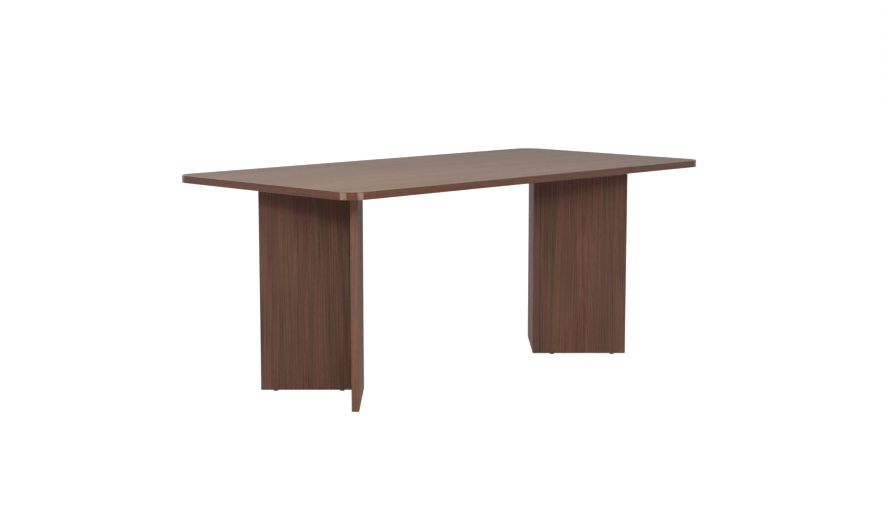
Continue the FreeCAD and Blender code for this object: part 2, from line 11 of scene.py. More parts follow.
# %% Load the frame
import math
import bpy
import numpy as np
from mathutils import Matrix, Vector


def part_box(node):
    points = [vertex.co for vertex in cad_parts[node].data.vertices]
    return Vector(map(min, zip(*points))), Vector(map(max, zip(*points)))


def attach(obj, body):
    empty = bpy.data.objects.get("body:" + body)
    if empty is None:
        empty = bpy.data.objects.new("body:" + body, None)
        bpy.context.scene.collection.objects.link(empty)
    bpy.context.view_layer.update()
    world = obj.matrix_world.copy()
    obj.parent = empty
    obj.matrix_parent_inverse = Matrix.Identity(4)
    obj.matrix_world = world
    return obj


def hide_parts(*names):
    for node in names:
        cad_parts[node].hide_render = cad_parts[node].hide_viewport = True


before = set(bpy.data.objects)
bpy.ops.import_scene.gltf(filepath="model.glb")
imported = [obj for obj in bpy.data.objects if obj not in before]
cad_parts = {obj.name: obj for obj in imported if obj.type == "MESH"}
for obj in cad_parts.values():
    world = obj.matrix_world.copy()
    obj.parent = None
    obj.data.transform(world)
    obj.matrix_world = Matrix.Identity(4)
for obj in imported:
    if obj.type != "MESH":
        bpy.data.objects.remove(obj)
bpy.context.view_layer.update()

# %% [markdown]
# The grain of each board is placed from the frame, so that it stays on the board if the table
# changes. A leg panel stands turned by 45 degrees in plan. The middle of its box is the middle
# of the board, and a table of directions says which way it runs from the leg's corner.

# %% Where the boards stand
MM = 0.001
QUARTER_TURN = math.pi / 2

PANEL_RUNS = {
    "left_through": math.radians(225),
    "left_butt": math.radians(135),
    "right_through": math.radians(45),
    "right_butt": math.radians(-45),
}


def middle_of(node):
    """The middle of a CAD node's box."""
    low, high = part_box(node)
    return (low + high) / 2


def width_of(node, run):
    """How wide a CAD node is along a direction in plan: the spread of its points' dot products."""
    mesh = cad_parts[node].data
    points = np.empty(3 * len(mesh.vertices))
    mesh.vertices.foreach_get("co", points)
    reach = points.reshape(-1, 3) @ (math.cos(run), math.sin(run), 0)
    return reach.max() - reach.min()


for panel, run in PANEL_RUNS.items():
    middle = middle_of(f"{panel}_panel")
    wide = width_of(f"{panel}_panel", run)
    print(f"{panel}: {wide:.3f} m wide, middle at {middle.x:.3f}, {middle.y:.3f}, {middle.z:.3f}")

# %% [markdown]
# The photograph was taken from well back with a long lens, a little above the top, at one
# corner of the table. The lens and the place of the camera were worked out from the table's
# own straight edges. The camera dips by 8 degrees. Shifting the frame down instead would keep
# upright edges quite parallel, but it would push the table out of a view from another side,
# and from so far back the dip moves hardly any edge by more than a pixel.

# %% The camera
# the place in metres, the turns in radians, the lens and the sensor in mm
CAMERA_PLACE = (-4.222, -4.145, 1.2477)
CAMERA_YAW = 0.7831
CAMERA_DIP = 0.1359
CAMERA_LENS = 67.16
SENSOR_WIDTH = 36

camera_data = bpy.data.cameras.new("camera")
camera_data.sensor_width = SENSOR_WIDTH
camera_data.lens = CAMERA_LENS
camera = bpy.data.objects.new("camera", camera_data)
camera.location = CAMERA_PLACE
camera.rotation_euler = (QUARTER_TURN - CAMERA_DIP, 0, CAMERA_YAW - QUARTER_TURN)
bpy.context.scene.collection.objects.link(camera)
bpy.context.scene.camera = camera
print(f"camera {camera.location.length:.2f} m from the floor under the table's middle")

# %% [markdown]
# A finish in Blender is a graph of small nodes. One helper adds a node, sets it and links
# it, so that each finish below reads as a list of steps. Colours are written as a painter's
# hex codes, which are display values, and one function turns them to the linear values
# that light adds up in.

# %% Two helpers for every finish
def linear(hex_code):
    """
    A hex colour as linear red, green, blue and alpha. The display curve is undone:
    c / 12.92 for dark values up to 0.04045, and ((c + 0.055) / 1.055) ** 2.4 above.
    """
    shown = [int(hex_code[start:start + 2], 16) / 255 for start in (1, 3, 5)]
    lit = [c / 12.92 if c <= 0.04045 else ((c + 0.055) / 1.055) ** 2.4 for c in shown]
    return (*lit, 1.0)


def add_node(tree, kind, inputs=None, **settings):
    """
    Add a node with its settings. Inputs go by name or number: a socket is linked, and
    anything else is set as the value.
    """
    node = tree.nodes.new(kind)
    for name, value in settings.items():
        setattr(node, name, value)
    for key, value in (inputs or {}).items():
        if isinstance(value, bpy.types.NodeSocket):
            tree.links.new(value, node.inputs[key])
        else:
            node.inputs[key].default_value = value
    return node


print(f"#808080 looks half as bright as white and is {linear('#808080')[0]:.3f} of its light")

# %% [markdown]
# The studio is a plain pale floor in soft light. The photograph's background is pure white.
# Turning the lamps up until the floor burns out would wash the walnut out too, so the light
# stays at a level at which a colour looks as it is written. Instead the floor glows white only
# to rays that come from the camera or from a reflection. Round the table its glow stops just
# short of white, and what the lamps add carries it over, so that it falls short only where the
# table takes their light away and leaves a faint shadow. From below, the floor is clear.

# %% The floor
WHITE = linear("#ffffff")
FLOOR_SIDE = 40
FLOOR_COLOUR = linear("#807f7d")
FLOOR_SHADE_COLOUR = linear("#a0a0a0")
# the glow's strength, where 1 is white, at two distances in metres from the table's middle
FLOOR_GLOW = (0.93, 1.0)
GLOW_REACH = (1.2, 3.5)


def seen_directly(tree):
    """
    A socket that is 1 for rays from the camera, a reflection or a see-through surface, else 0:
    the largest of three flags that are each 0 or 1.
    """
    rays = add_node(tree, "ShaderNodeLightPath").outputs
    seen = rays["Is Camera Ray"]
    for kind in ("Is Glossy Ray", "Is Transmission Ray"):
        either = add_node(tree, "ShaderNodeMath", {0: seen, 1: rays[kind]}, operation="MAXIMUM")
        seen = either.outputs[0]
    return seen


half_side = FLOOR_SIDE / 2
corner_signs = np.array([(-1, -1, 0), (1, -1, 0), (1, 1, 0), (-1, 1, 0)])
floor_mesh = bpy.data.meshes.new("floor")
floor_mesh.from_pydata((half_side * corner_signs).tolist(), [], [(0, 1, 2, 3)])
floor = bpy.data.objects.new("floor", floor_mesh)
bpy.context.scene.collection.objects.link(floor)

floor_paint = bpy.data.materials.new("pale_floor")
floor_paint.use_nodes = True
tree = floor_paint.node_tree
tree.nodes.clear()
bounce = add_node(tree, "ShaderNodeBsdfDiffuse", {"Color": FLOOR_COLOUR})
shade = add_node(tree, "ShaderNodeBsdfDiffuse", {"Color": FLOOR_SHADE_COLOUR})
place = add_node(tree, "ShaderNodeTexCoord").outputs["Object"]
distance = add_node(tree, "ShaderNodeVectorMath", {0: place}, operation="LENGTH").outputs["Value"]
strength = add_node(
    tree,
    "ShaderNodeMapRange",
    {
        "Value": distance,
        "From Min": GLOW_REACH[0],
        "From Max": GLOW_REACH[1],
        "To Min": FLOOR_GLOW[0],
        "To Max": FLOOR_GLOW[1],
    },
)
glow = add_node(tree, "ShaderNodeEmission", {"Color": WHITE, "Strength": strength.outputs[0]})
shown = add_node(tree, "ShaderNodeAddShader", {0: shade.outputs[0], 1: glow.outputs[0]})
choices = {0: seen_directly(tree), 1: bounce.outputs[0], 2: shown.outputs[0]}
above = add_node(tree, "ShaderNodeMixShader", choices)
below = add_node(tree, "ShaderNodeBsdfTransparent")
underside = add_node(tree, "ShaderNodeNewGeometry").outputs["Backfacing"]
sides = {0: underside, 1: above.outputs[0], 2: below.outputs[0]}
surface = add_node(tree, "ShaderNodeMixShader", sides)
add_node(tree, "ShaderNodeOutputMaterial", {"Surface": surface.outputs[0]})
floor_mesh.materials.append(floor_paint)
print(f"a floor {FLOOR_SIDE} m square")

# %% [markdown]
# Past the floor's edge lies the world. It looks plain white as the floor does, by the same
# flags, but the light that it sends is weak, so that the lamps shape the table. The Standard
# view shows each colour as it is, where the default one would dull it as film does.

# %% The world
WORLD_LIGHT = 0.3

world = bpy.data.worlds.new("studio")
bpy.context.scene.world = world
world.use_nodes = True
tree = world.node_tree
tree.nodes.clear()
soft = add_node(tree, "ShaderNodeBackground", {"Color": WHITE, "Strength": WORLD_LIGHT})
plain = add_node(tree, "ShaderNodeBackground", {"Color": WHITE, "Strength": 1.0})
choices = {0: seen_directly(tree), 1: soft.outputs[0], 2: plain.outputs[0]}
sky = add_node(tree, "ShaderNodeMixShader", choices)
add_node(tree, "ShaderNodeOutputWorld", {"Surface": sky.outputs[0]})
bpy.context.scene.view_settings.view_transform = "Standard"
print(f"a white world that lights the table at {WORLD_LIGHT}")

# %% [markdown]
# The photograph tells where its lamps stood. The legs are dark just under the top and grow
# lighter downwards, so the main light comes from the front, above the table, and the overhang
# cuts it off. A small one stands to the right for the far leg. A wide strip lamp behind a grid,
# which keeps its beam narrow, sends the middle of the legs more light and leaves their feet
# dim. The top is lightest at the near end, so a soft lamp hangs over that end, and a lamp behind
# the table gives its far side a pale sheen.
#
# Two more strip lamps, a little warmer, stand left and right of the camera, and show as two
# upright glints on the rounded corner nearest the camera. The brown between the glints is the
# corner that faces the camera itself. A lamp's beam is how far its light spreads, in degrees.

# %% The lamps
# each lamp: its watts, and in metres its width and height, its place and where it points
LAMPS = {
    "front_softbox": (16.5, (2.4, 0.6), (-3.0, -2.9, 2.3), (-0.3, -0.1, 0.3)),
    "right_softbox": (6.0, (0.4, 0.7), (-0.6, -3.2, 1.8), (-0.2, -0.2, 0.4)),
    "gridded_strip": (3.25, (4.0, 0.3), (-2.9, -2.9, 1.6), (0.0, 0.0, 0.35)),
    "top_softbox": (70.0, (2.0, 2.0), (-1.2, -0.8, 3.0), (-1.2, -0.8, 0.5)),
    "back_softbox": (6.5, (2.0, 1.6), (0.1, 3.4, 1.8), (-0.4, 0.2, 0.7)),
    "left_glint": (8.8, (1.5, 0.18), (-3.33, -0.42, 0.48), (-0.83, -0.38, 0.6)),
    "right_glint": (8.0, (1.3, 0.18), (-0.79, -2.88, 0.48), (-0.83, -0.38, 0.6)),
}
BEAMS = {"gridded_strip": 24}
OPEN_BEAM = 180
WARM_LAMPS = {"left_glint", "right_glint"}
WARM_COLOUR = linear("#fff3e6")


def aimed(place, aim):
    """
    The turn that points an object's own -Z from a place towards an aim. The heading is the
    way's angle in plan, and the dip is its angle under the level.
    """
    way = np.array(aim) - np.array(place)
    heading = math.atan2(way[1], way[0])
    dip = math.atan2(-way[2], math.hypot(way[0], way[1]))
    return (QUARTER_TURN - dip, 0, heading - QUARTER_TURN)


for name, (watts, size, place, aim) in LAMPS.items():
    light = bpy.data.lights.new(name, "AREA")
    light.shape = "RECTANGLE"
    light.size, light.size_y = size
    light.energy = watts
    light.spread = math.radians(BEAMS.get(name, OPEN_BEAM))
    light.color = (WARM_COLOUR if name in WARM_LAMPS else WHITE)[:3]
    lamp = bpy.data.objects.new(name, light)
    lamp.location = place
    lamp.rotation_euler = aimed(place, aim)
    lamp.visible_camera = False
    bpy.context.scene.collection.objects.link(lamp)
print(f"{len(LAMPS)} lamps, {sum(watts for watts, *_ in LAMPS.values()):.0f} W in all")

# %% [markdown]
# The walnut. The boards are faced with walnut veneer: thin leaves sliced from a log, glued
# down, sanded and given a satin lacquer. A slice that passes near the middle of the log
# cuts its rings at a slant, so the rings show as long arches in the middle of the leaf and
# as straight lines along its sides. Under the rings lie fine fibres, slow drifts between a
# reddish and an olive brown, and the pores, which show as short dark dashes.
#
# A picture of veneer would repeat, and a flat brown would look like plastic. Here the log
# itself is written down: each point of a leaf is a place in the log, and its distance from
# the log's heart picks the ring, so that the arches come out by themselves.

# %% The figure of walnut
VENEER = {
    "pith_depth": 46,      # how deep the log's heart lies under the leaf's middle, mm
    "pith_lean": 0.07,     # how much deeper it lies for each mm along the leaf
    "ring_width": 4.5,     # mm
    "wander": 22,          # how far the fibres stray sideways at most, mm
}

# Each layer of grain: how long and how wide one mark is in mm, and how much finer detail it
# has. Real fibres and pores are at most 0.2 mm wide, too fine to show from where the camera
# stands, so both are drawn as coarse as they need to be to show.
GRAIN = {
    "stray": (520, 120, 1),
    "hue": (600, 42, 2),
    "broad": (900, 90, 1),
    "shade": (420, 16, 2),
    "fibre": (260, 2.4, 2),
    "pore": (14, 0.7, 0),
}
# how far apart two seeds lie in a layer's noise, and in the rings' noise
SEED_STEP = 3.7
LOG_STEP = 31.0
RING_DETAIL = 2


def grain_layers(tree, lie, grain, seed):
    """
    One noise for each layer of grain, from a place in mm with X along the grain. The place is
    divided by the length and the width of the layer's marks, so one mark is 1 each way.
    """
    layers = {}
    for number, (layer, (along, across, detail)) in enumerate(grain.items()):
        spot = add_node(
            tree,
            "ShaderNodeVectorMath",
            {0: lie, 1: (1 / along, 1 / across, 1 / across)},
            operation="MULTIPLY",
        )
        noise = add_node(
            tree,
            "ShaderNodeTexNoise",
            {
                "Vector": spot.outputs[0],
                "W": SEED_STEP * seed + number,
                "Scale": 1.0,
                "Detail": detail,
            },
            noise_dimensions="4D",
        )
        layers[layer] = noise.outputs[0]
    return layers


def log_rings(tree, lie, stray, leaf_width, seed):
    """
    The tone of the rings of a log that a leaf was sliced from. With s the stray, the place
    across is c = |Y + s| folded every leaf, the heart's depth is d = pith_depth + pith_lean * X,
    and the ring is sqrt(c * c + d * d) divided by ring_width. A noise gives each ring its tone.
    """
    spot = add_node(tree, "ShaderNodeSeparateXYZ", {0: lie})
    centred = add_node(tree, "ShaderNodeMath", {0: stray, 1: 0.5}, operation="SUBTRACT")
    strayed = add_node(
        tree,
        "ShaderNodeMath",
        {0: centred.outputs[0], 1: 2 * VENEER["wander"], 2: spot.outputs["Y"]},
        operation="MULTIPLY_ADD",
    )
    folded = add_node(
        tree, "ShaderNodeMath", {0: strayed.outputs[0], 1: leaf_width / 2}, operation="PINGPONG"
    )
    heart = add_node(
        tree,
        "ShaderNodeMath",
        {0: spot.outputs["X"], 1: VENEER["pith_lean"], 2: VENEER["pith_depth"]},
        operation="MULTIPLY_ADD",
    )
    spoke = add_node(tree, "ShaderNodeCombineXYZ", {"X": folded.outputs[0], "Y": heart.outputs[0]})
    reach = add_node(tree, "ShaderNodeVectorMath", {0: spoke.outputs[0]}, operation="LENGTH")
    ring = add_node(
        tree,
        "ShaderNodeMath",
        {0: reach.outputs["Value"], 1: 1 / VENEER["ring_width"], 2: LOG_STEP * seed},
        operation="MULTIPLY_ADD",
    )
    rings = add_node(
        tree,
        "ShaderNodeTexNoise",
        {"W": ring.outputs[0], "Scale": 1.0, "Detail": RING_DETAIL},
        noise_dimensions="1D",
    )
    return rings.outputs[0]


print(f"{len(GRAIN)} layers of grain, and rings {VENEER['ring_width']} mm wide")

# %% [markdown]
# The layers are now mixed into a colour. Each adds its share to one tone from dark to light,
# and a slow drift picks between the reddish and the olive pair of browns. Satin lacquer over
# open pores gives a soft broad sheen: rougher than gloss, with the pores as fine grooves. Its
# gloss isn't even, because the lacquer sinks in a little more here than there.
#
# A noise runs from 0 to 1 but mostly keeps to its middle, so each step names the span of
# values that it works over. Colours fade and the gloss changes along such a span.

# %% Wood under lacquer
HUE_SPAN = (0.25, 0.75)
SHADE_SPAN = (0.3, 0.7)
PORE_SPAN = (0.60, 0.72)
# the most that a pore's brown hides of the wood's, and how deep and how sharp its groove is
PORE_SHARE = 0.45
PORE_BROWN = linear("#31221a")
PORE_DEPTH = 0.027 * MM
PORE_STRENGTH = 0.6
# lacquer has about 1.5, but the sheen in the photograph is weaker than that gives
LACQUER_IOR = 1.37

# the numbers of the sockets that a Mix node shows when it mixes colours
MIX_SHARE, MIX_FIRST, MIX_SECOND, MIX_RESULT = 0, 6, 7, 2


def new_finish(name):
    """A new node material; returns it with its node tree and its Principled shader."""
    material = bpy.data.materials.new(name)
    material.use_nodes = True
    tree = material.node_tree
    return material, tree, tree.nodes["Principled BSDF"]


def faded(tree, pattern, span, first, second, most=1.0):
    """
    A colour that fades from the first to the second as a pattern's value goes along a span.
    The second colour's share is most * (value - start) / (end - start), from 0 to most.
    """
    share = add_node(
        tree,
        "ShaderNodeMapRange",
        {"Value": pattern, "From Min": span[0], "From Max": span[1], "To Max": most},
    )
    mix = add_node(
        tree,
        "ShaderNodeMix",
        {MIX_SHARE: share.outputs[0], MIX_FIRST: first, MIX_SECOND: second},
        data_type="RGBA",
    )
    return mix.outputs[MIX_RESULT]


def set_uneven_gloss(tree, shader, pattern, span, roughness):
    """The roughness goes from its first value to its second as a pattern goes along a span."""
    rough = add_node(
        tree,
        "ShaderNodeMapRange",
        {
            "Value": pattern,
            "From Min": span[0],
            "From Max": span[1],
            "To Min": roughness[0],
            "To Max": roughness[1],
        },
    )
    tree.links.new(rough.outputs[0], shader.inputs["Roughness"])


def wood_colour(tree, layers, look):
    """
    The colour of wood out of its layers. The tone is 0.5 plus each layer's share times its
    distance from 0.5. It picks between a dark and a light brown, the hue layer picks between
    a reddish and an olive pair of them, and the pores are laid over.
    """
    tone = 0.5 - sum(look["shares"].values()) / 2
    for layer, share in look["shares"].items():
        step = add_node(
            tree, "ShaderNodeMath", {0: layers[layer], 1: share, 2: tone}, operation="MULTIPLY_ADD"
        )
        tone = step.outputs[0]
    dark, light = (
        faded(tree, layers["hue"], HUE_SPAN, reddish, olive)
        for reddish, olive in zip(look["reddish"], look["olive"])
    )
    wood = faded(tree, tone, (0, 1), dark, light)
    return faded(tree, layers["pore"], PORE_SPAN, wood, PORE_BROWN, PORE_SHARE)


def lacquer_over(tree, shader, colour, layers, roughness):
    """Put a wood's colour under lacquer, with the pores as grooves and an uneven gloss."""
    pores = add_node(
        tree,
        "ShaderNodeMapRange",
        {"Value": layers["pore"], "From Min": PORE_SPAN[0], "From Max": PORE_SPAN[1]},
    )
    groove = add_node(
        tree,
        "ShaderNodeBump",
        {"Height": pores.outputs[0], "Strength": PORE_STRENGTH, "Distance": PORE_DEPTH},
        invert=True,
    )
    tree.links.new(colour, shader.inputs["Base Color"])
    tree.links.new(groove.outputs[0], shader.inputs["Normal"])
    set_uneven_gloss(tree, shader, layers["shade"], SHADE_SPAN, roughness)
    shader.inputs["IOR"].default_value = LACQUER_IOR


print(f"pores are grooves of {PORE_DEPTH / MM:.3f} mm, under lacquer of IOR {LACQUER_IOR}")

# %% [markdown]
# The top is faced with leaves laid side by side and opened like the pages of a book, so that
# each mirrors the next. A panel has one wide leaf with its grain upright. Every board starts
# from its own log, so that no two are alike. Where a butt panel is glued to the panel it
# meets, the joint shows as a thin dark line.

# %% Veneer for the top and the panels
# Each look: how wide a leaf is in mm, the layers' shares in the tone, the dark and the light
# brown of each pair, and how rough the lacquer is from its glossier spots to its duller ones.
TOP_LOOK = {
    "leaf_width": 225,
    "shares": {"fibre": 1.2, "ring": 0.6, "shade": 1.1, "broad": 0.6},
    "reddish": (linear("#462f22"), linear("#805f4a")),
    "olive": (linear("#3e301f"), linear("#755d42")),
    "roughness": (0.50, 0.60),
}
LEG_LOOK = {
    "leaf_width": 700,
    "shares": {"fibre": 2.0, "ring": 0.4, "shade": 0.7, "broad": 0.8},
    "reddish": (linear("#4e2f29"), linear("#8d5c4e")),
    "olive": (linear("#423122"), linear("#7f5f48")),
    "roughness": (0.62, 0.72),
}
# which log a board's leaves come from
LOG_SEEDS = {"top": 1, "left_through": 2, "left_butt": 23, "right_through": 4, "right_butt": 12}
GLUE_BROWN = linear("#1c110b")
# the line of glue is as wide as the chamfer that it lies in, its soft edge with it, in mm
GLUE_LINE = 1.5
GLUE_EDGE = 0.3
UPRIGHT = -QUARTER_TURN


def lie_in_mm(tree, middle=(0, 0, 0), turn=(0, 0, 0)):
    """
    Where a point lies from a middle, along turned axes and in mm: the point less the middle,
    turned back and divided by a millimetre. On wood, X runs with the grain and Y across it.
    """
    place = add_node(tree, "ShaderNodeTexCoord").outputs["Object"]
    settings = {"Vector": place, "Location": middle, "Rotation": turn, "Scale": (MM, MM, MM)}
    return add_node(tree, "ShaderNodeMapping", settings, vector_type="TEXTURE").outputs[0]


def veneer(name, middle, turn, seed, look, glued_at=None):
    """
    Lacquered walnut veneer on a board with its middle and its grain's turn. Where the board's
    end is glued, glued_at is how far that end lies from the middle, in mm against the grain's Y.
    """
    material, tree, shader = new_finish(name)
    lie = lie_in_mm(tree, middle, turn)
    layers = grain_layers(tree, lie, GRAIN, seed)
    layers["ring"] = log_rings(tree, lie, layers["stray"], look["leaf_width"], seed)
    colour = wood_colour(tree, layers, look)
    if glued_at:
        across = add_node(tree, "ShaderNodeSeparateXYZ", {0: lie}).outputs["Y"]
        span = (GLUE_LINE - glued_at, GLUE_LINE - GLUE_EDGE - glued_at)
        colour = faded(tree, across, span, colour, GLUE_BROWN)
    lacquer_over(tree, shader, colour, layers, look["roughness"])
    return material


top_middle = middle_of("top_board")
top_veneer = veneer("walnut_veneer_of_top", top_middle, (0, 0, 0), LOG_SEEDS["top"], TOP_LOOK)

panel_lies = {}
panel_veneers = {}
for panel, run in PANEL_RUNS.items():
    node = f"{panel}_panel"
    panel_lies[panel] = {"middle": middle_of(node), "turn": (0, UPRIGHT, run - QUARTER_TURN)}
    panel_veneers[panel] = veneer(
        f"walnut_veneer_of_{panel}",
        **panel_lies[panel],
        seed=LOG_SEEDS[panel],
        look=LEG_LOOK,
        glued_at=width_of(node, run) / 2 / MM if panel.endswith("butt") else None,
    )
print(f"walnut for the top and {len(panel_veneers)} panels")

# %% [markdown]
# The edges of the boards would show their core, so a strip of walnut is glued over each and
# trimmed flush, and its sharp arrises are eased. A strip is sawn or sliced along the grain, so
# it shows long straight streaks and no arches. It is a little redder than the veneer beside it,
# but for the strips at the corners of the legs, which have the panels' own browns. The strip
# round the top is polished smoother than the rest, because it shows two clear glints.

# %% The edging finish
# as for the veneer, and drawn just as coarse
STRIP_GRAIN = {
    "hue": (300, 14, 1),
    "shade": (260, 6, 2),
    "fibre": (150, 1.4, 2),
    "pore": (12, 0.7, 0),
}
STRIP_SHARES = {"fibre": 0.8, "shade": 0.7}
TOP_EDGING_LOOK = {
    "shares": STRIP_SHARES,
    "reddish": (linear("#4e2716"), linear("#824b2e")),
    "olive": (linear("#472815"), linear("#7c4b2b")),
    "roughness": (0.12, 0.17),
}
LEG_EDGING_LOOK = {
    "shares": STRIP_SHARES,
    "reddish": (linear("#5c3a2c"), linear("#976954")),
    "olive": (linear("#543a2a"), linear("#916a51")),
    "roughness": (0.55, 0.65),
}
APEX_EDGING_LOOK = {**LEG_EDGING_LOOK, "reddish": LEG_LOOK["reddish"], "olive": LEG_LOOK["olive"]}
STRIP_SEEDS = {"top": 11, "left_through": 12, "left_butt": 13, "right_through": 14, "right_butt": 15}
STRIP_UV = "along_and_round"


def edging(name, lie_of, seed, look):
    """Lacquered walnut edging. lie_of makes the socket that says where a point lies in mm."""
    material, tree, shader = new_finish(name)
    layers = grain_layers(tree, lie_of(tree), STRIP_GRAIN, seed)
    lacquer_over(tree, shader, wood_colour(tree, layers, look), layers, look["roughness"])
    return material


def lie_on_strip(tree):
    """Where a point lies on the strip: its UV map holds metres, and this divides them by a mm."""
    uv = add_node(tree, "ShaderNodeUVMap", uv_map=STRIP_UV).outputs[0]
    settings = {0: uv, "Scale": 1 / MM}
    return add_node(tree, "ShaderNodeVectorMath", settings, operation="SCALE").outputs[0]


top_edging_walnut = edging("walnut_edging_of_top", lie_on_strip, STRIP_SEEDS["top"], TOP_EDGING_LOOK)
leg_edging_walnuts = {}
for panel, lie in panel_lies.items():
    for kind, look in (("edging", LEG_EDGING_LOOK), ("apex_edging", APEX_EDGING_LOOK)):
        leg_edging_walnuts[panel, kind] = edging(
            f"walnut_{kind}_of_{panel}",
            lambda tree: lie_in_mm(tree, **lie),
            STRIP_SEEDS[panel],
            look,
        )
print(f"edging for the top, and {len(leg_edging_walnuts)} finishes for the panels' strips")

# %% [markdown]
# The brackets are steel with a powder coat: a plastic powder sprayed on dry and melted in an
# oven. It flows out into a skin that is matt and black with the fine dimples of orange peel.
# Its colour is painted a little darker in the dimples than on the peaks: painted shade. Coats,
# platings and moulded plastics all have a skin like this, which is nearly even and never
# quite, so one function makes them all.

# %% Powder-coated steel
def skin(name, patches, mottles, pits=None, metallic=0.0):
    """
    A coated, plated or moulded skin. One noise fades its colour between two over patches, and
    one changes its gloss over mottles and presses in any pits. Both have a size in mm, an
    amount of finer detail and the span of the noise's values that counts.
    """
    material, tree, shader = new_finish(name)
    lie = lie_in_mm(tree)
    drift, mottle = (
        add_node(
            tree,
            "ShaderNodeTexNoise",
            {"Vector": lie, "Scale": 1 / marks["size"], "Detail": marks["detail"]},
        ).outputs[0]
        for marks in (patches, mottles)
    )
    colour = faded(tree, drift, patches["span"], *patches["colours"])
    tree.links.new(colour, shader.inputs["Base Color"])
    set_uneven_gloss(tree, shader, mottle, mottles["span"], mottles["roughness"])
    if pits:
        dents = add_node(
            tree,
            "ShaderNodeBump",
            {"Height": mottle, "Strength": pits["strength"], "Distance": pits["depth"]},
        )
        tree.links.new(dents.outputs[0], shader.inputs["Normal"])
    shader.inputs["Metallic"].default_value = metallic
    return material


PEEL = {"size": 1.6, "detail": 2}

# the colour's patches and the dimples share PEEL's noise, so the coat is darker in its dimples:
# painted shade
powder_coat = skin(
    "powder_coated_steel",
    patches={**PEEL, "span": (0.35, 0.65), "colours": (linear("#18181a"), linear("#232326"))},
    mottles={**PEEL, "span": (0.3, 0.7), "roughness": (0.42, 0.58)},
    pits={"strength": 0.7, "depth": 0.02 * MM},
)
print(f"powder coat for the brackets, with dimples {PEEL['size']} mm wide")

# %% [markdown]
# Bolts, screws and nails are steel wire pressed to shape, and washers are stamped from sheet.
# They are tumbled in a barrel and plated with zinc. The plating is thin and bright, its colour
# drifts between a cold blue and a warm yellow, and the tumbling leaves it faintly mottled. The
# threaded inserts are cast from a zinc alloy, which is greyer and duller, with the fine grain
# of the die.

# %% Zinc, plated and cast
DRIFT = {"detail": 1, "span": (0.35, 0.65)}
TUMBLED = {"detail": 3, "span": (0.3, 0.7)}

plated_zinc = skin(
    "zinc_plated_steel",
    patches={**DRIFT, "size": 5, "colours": (linear("#c4cad1"), linear("#d0ccbf"))},
    mottles={**TUMBLED, "size": 1.5, "roughness": (0.22, 0.36)},
    pits={"strength": 0.5, "depth": 0.01 * MM},
    metallic=1.0,
)
cast_zinc = skin(
    "cast_zinc_alloy",
    patches={**DRIFT, "size": 2, "colours": (linear("#9fa09e"), linear("#a8a498"))},
    mottles={**TUMBLED, "size": 0.6, "roughness": (0.42, 0.56)},
    pits={"strength": 0.5, "depth": 0.02 * MM},
    metallic=1.0,
)
print("zinc for the fasteners and the inserts")

# %% [markdown]
# The dowels are turned from beech: a pale, even, pinkish wood. Its mark is the rays, which
# show as short dark flecks a few millimetres long, all along the grain. A dowel lies the way
# that its butt panel runs, and the two butt panels run along the same line, so one turn serves
# all the dowels.

# %% Beech
BEECH_GRAIN = {"shade": (60, 3, 2), "fleck": (4, 0.45, 0)}
BEECH_SEED = 21
BEECH_PALE = (linear("#c2966f"), linear("#d6b28d"))
FLECK_SPAN = (0.58, 0.7)
FLECK_SHARE = 0.6
FLECK_BROWN = linear("#8d6140")
BEECH_ROUGHNESS = 0.62

beech, tree, shader = new_finish("turned_beech")
lie = lie_in_mm(tree, turn=(0, 0, PANEL_RUNS["right_butt"]))
layers = grain_layers(tree, lie, BEECH_GRAIN, BEECH_SEED)
pale = faded(tree, layers["shade"], SHADE_SPAN, *BEECH_PALE)
flecked = faded(tree, layers["fleck"], FLECK_SPAN, pale, FLECK_BROWN, FLECK_SHARE)
tree.links.new(flecked, shader.inputs["Base Color"])
shader.inputs["Roughness"].default_value = BEECH_ROUGHNESS
print("beech for the dowels")

# %% [markdown]
# The glides are moulded polyethylene, dark brown right through, with the soft waxy gloss of
# that plastic and fine scuffs from being dragged about.

# %% Glide plastic
SCUFF = {"size": 0.8, "detail": 3}

glide_plastic = skin(
    "moulded_polyethylene",
    patches={**SCUFF, "span": (0.5, 0.75), "colours": (linear("#1a120e"), linear("#2e221c"))},
    mottles={**SCUFF, "span": (0.35, 0.7), "roughness": (0.38, 0.62)},
)
print(f"plastic for the glides, with scuffs {SCUFF['size']} mm wide")

# %% [markdown]
# The strip round the top is one long ribbon, bent round the four corners, whose ends meet in
# the middle of the rear side. Its grain has to bend with it, which a pattern fixed in space
# can't do, so the strip is made anew. Its section, with two rounded arrises, is carried along
# the outline of the top. A rounded rectangle needs no separate straight pieces. Its outline is
# a quarter circle about each of four centres, and the straight sides are what joins one
# quarter to the next.

# %% The outline of the top and the section of its strip
STRIP_THICKNESS = 2 * MM
STRIP_ARRIS = 1 * MM
FLAT_MARGIN = 0.2 * MM
TOP_CORNER = 70 * MM
STRIP_JOINT = 0.2 * MM
CORNER_STEPS = 28
ARRIS_STEPS = 6


def quarter_circle(start, steps):
    """Angles of a quarter turn from start, both ends with it."""
    return start + np.linspace(0, QUARTER_TURN, steps + 1)


def outline_of_top(half_length, half_width):
    """
    The centres that the outline turns about and its outward directions, anticlockwise from
    the middle of the rear side. A point of the outline is centre + radius * (cos a, sin a).
    """
    starts = QUARTER_TURN * np.arange(1, 5)
    angles = (starts[:, None] + quarter_circle(0, CORNER_STEPS)).ravel()
    signs = np.array([(-1, 1), (-1, -1), (1, -1), (1, 1)])
    centre = np.array([half_length, half_width]) - TOP_CORNER
    centres = np.repeat(signs * centre, CORNER_STEPS + 1, axis=0)
    ends = np.array([(-STRIP_JOINT / 2, centre[1]), (STRIP_JOINT / 2, centre[1])])
    centres = np.vstack([ends[:1], centres, ends[1:]])
    angles = np.concatenate([[QUARTER_TURN], angles, [QUARTER_TURN]])
    return centres, np.stack([np.cos(angles), np.sin(angles)], axis=-1)


